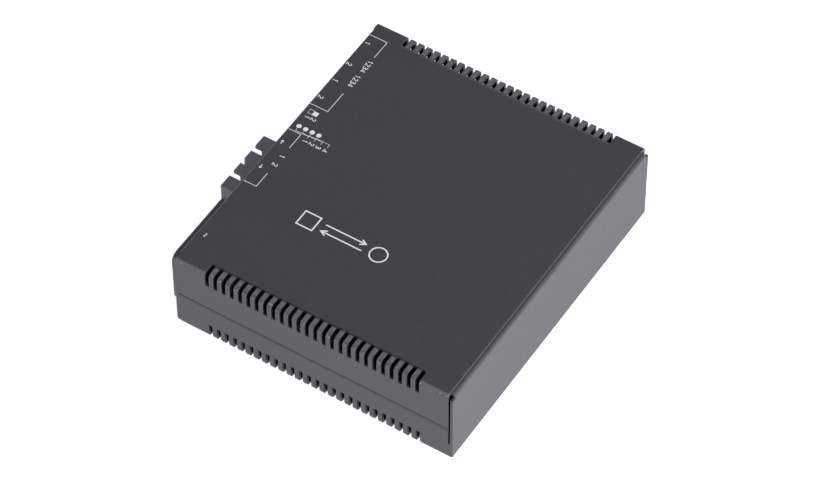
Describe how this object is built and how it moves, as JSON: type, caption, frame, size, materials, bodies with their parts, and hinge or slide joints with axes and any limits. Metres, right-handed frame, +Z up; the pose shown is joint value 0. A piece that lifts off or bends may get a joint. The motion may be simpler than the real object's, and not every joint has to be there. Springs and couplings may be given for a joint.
{
  "type": "fibre media converter",
  "caption": "Small dark sheet-metal network box with slotted long edges, two data jacks, a slide switch, status lights, a two-port fibre transceiver and a mains inlet on its front.",
  "frame": {"origin": "on the supporting surface, under the middle of the whole object's bounding box", "axes": "+Z up; -Y is the connector face, +Y the plain end wall; +X is the side of the mains inlet"},
  "size_m": [0.121, 0.114, 0.0359],
  "materials": {
    "case_coating": "fine-textured dark grey powder coat",
    "foot_rubber": "matt",
    "zinc_plate": "bright zinc",
    "circuit_board": "green solder mask",
    "black_moulding": "moulded, matt",
    "pale_moulding": "moulded, satin",
    "fibre_moulding": "moulded, blue-grey, matt",
    "white_ceramic": "polished",
    "gold_contact": "gold plated",
    "inlet_moulding": "moulded, dark blue-grey, satin",
    "nickel_plate": "nickel plated",
    "jack_tin": "tinned",
    "lamp_lens": "tinted lens",
    "fuse_glass": "clear",
    "ferrite": "ceramic grey",
    "film_box": "yellow box",
    "chip_resin": "moulded resin",
    "can_sleeve": "shrink sleeve",
    "winding_tape": "polyester tape",
    "sink_aluminium": "black anodised"
  },
  "bodies": {
    "case": {"board_capacitors": "can_sleeve", "board_link_header": "black_moulding", "bridge_rectifier": "chip_resin", "chassis_tray": "case_coating", "chip_heat_sink": "sink_aluminium", "clock_crystal": "nickel_plate", "converter_chip": "chip_resin", "cover_posts": "zinc_plate", "cover_screws": "zinc_plate", "fibre_housing": "fibre_moulding", "fibre_pins": "gold_contact", "fibre_sleeves": "white_ceramic", "fuse": "fuse_glass", "fuse_clips": "nickel_plate", "interface_chips": "chip_resin", "left_jack_insert": "black_moulding", "left_jack_lenses": "lamp_lens", "left_jack_shell": "jack_tin", "left_jack_wires": "gold_contact", "line_choke": "ferrite", "line_filter_capacitor": "film_box", "line_transformers": "chip_resin", "mains_inlet_blades": "nickel_plate", "mains_inlet_body": "inlet_moulding", "mode_switch_case": "black_moulding", "output_capacitors": "can_sleeve", "power_heat_sink": "sink_aluminium", "power_transistor": "chip_resin", "reservoir_capacitor": "can_sleeve", "right_jack_insert": "black_moulding", "right_jack_lenses": "lamp_lens", "right_jack_shell": "jack_tin", "right_jack_wires": "gold_contact", "rubber_foot_1": "foot_rubber", "rubber_foot_2": "foot_rubber", "rubber_foot_3": "foot_rubber", "rubber_foot_4": "foot_rubber", "signal_board": "circuit_board", "signal_board_screws": "zinc_plate", "signal_board_spacers": "zinc_plate", "status_light_1": "lamp_lens", "status_light_2": "lamp_lens", "status_light_3": "lamp_lens", "status_light_4": "lamp_lens", "status_light_holder": "black_moulding", "supply_board": "circuit_board", "supply_board_screws": "zinc_plate", "supply_board_spacers": "zinc_plate", "top_cover": "case_coating", "transformer_core": "ferrite", "transformer_winding": "winding_tape"},
    "switch_slider": {"mode_switch_slider": "pale_moulding"}
  },
  "joints": [
    {"name": "mode_switch_slide", "type": "slide", "parent": "case", "child": "switch_slider", "axis": [0, 0, 1], "range_m": [0, 0.002]}
  ]
}
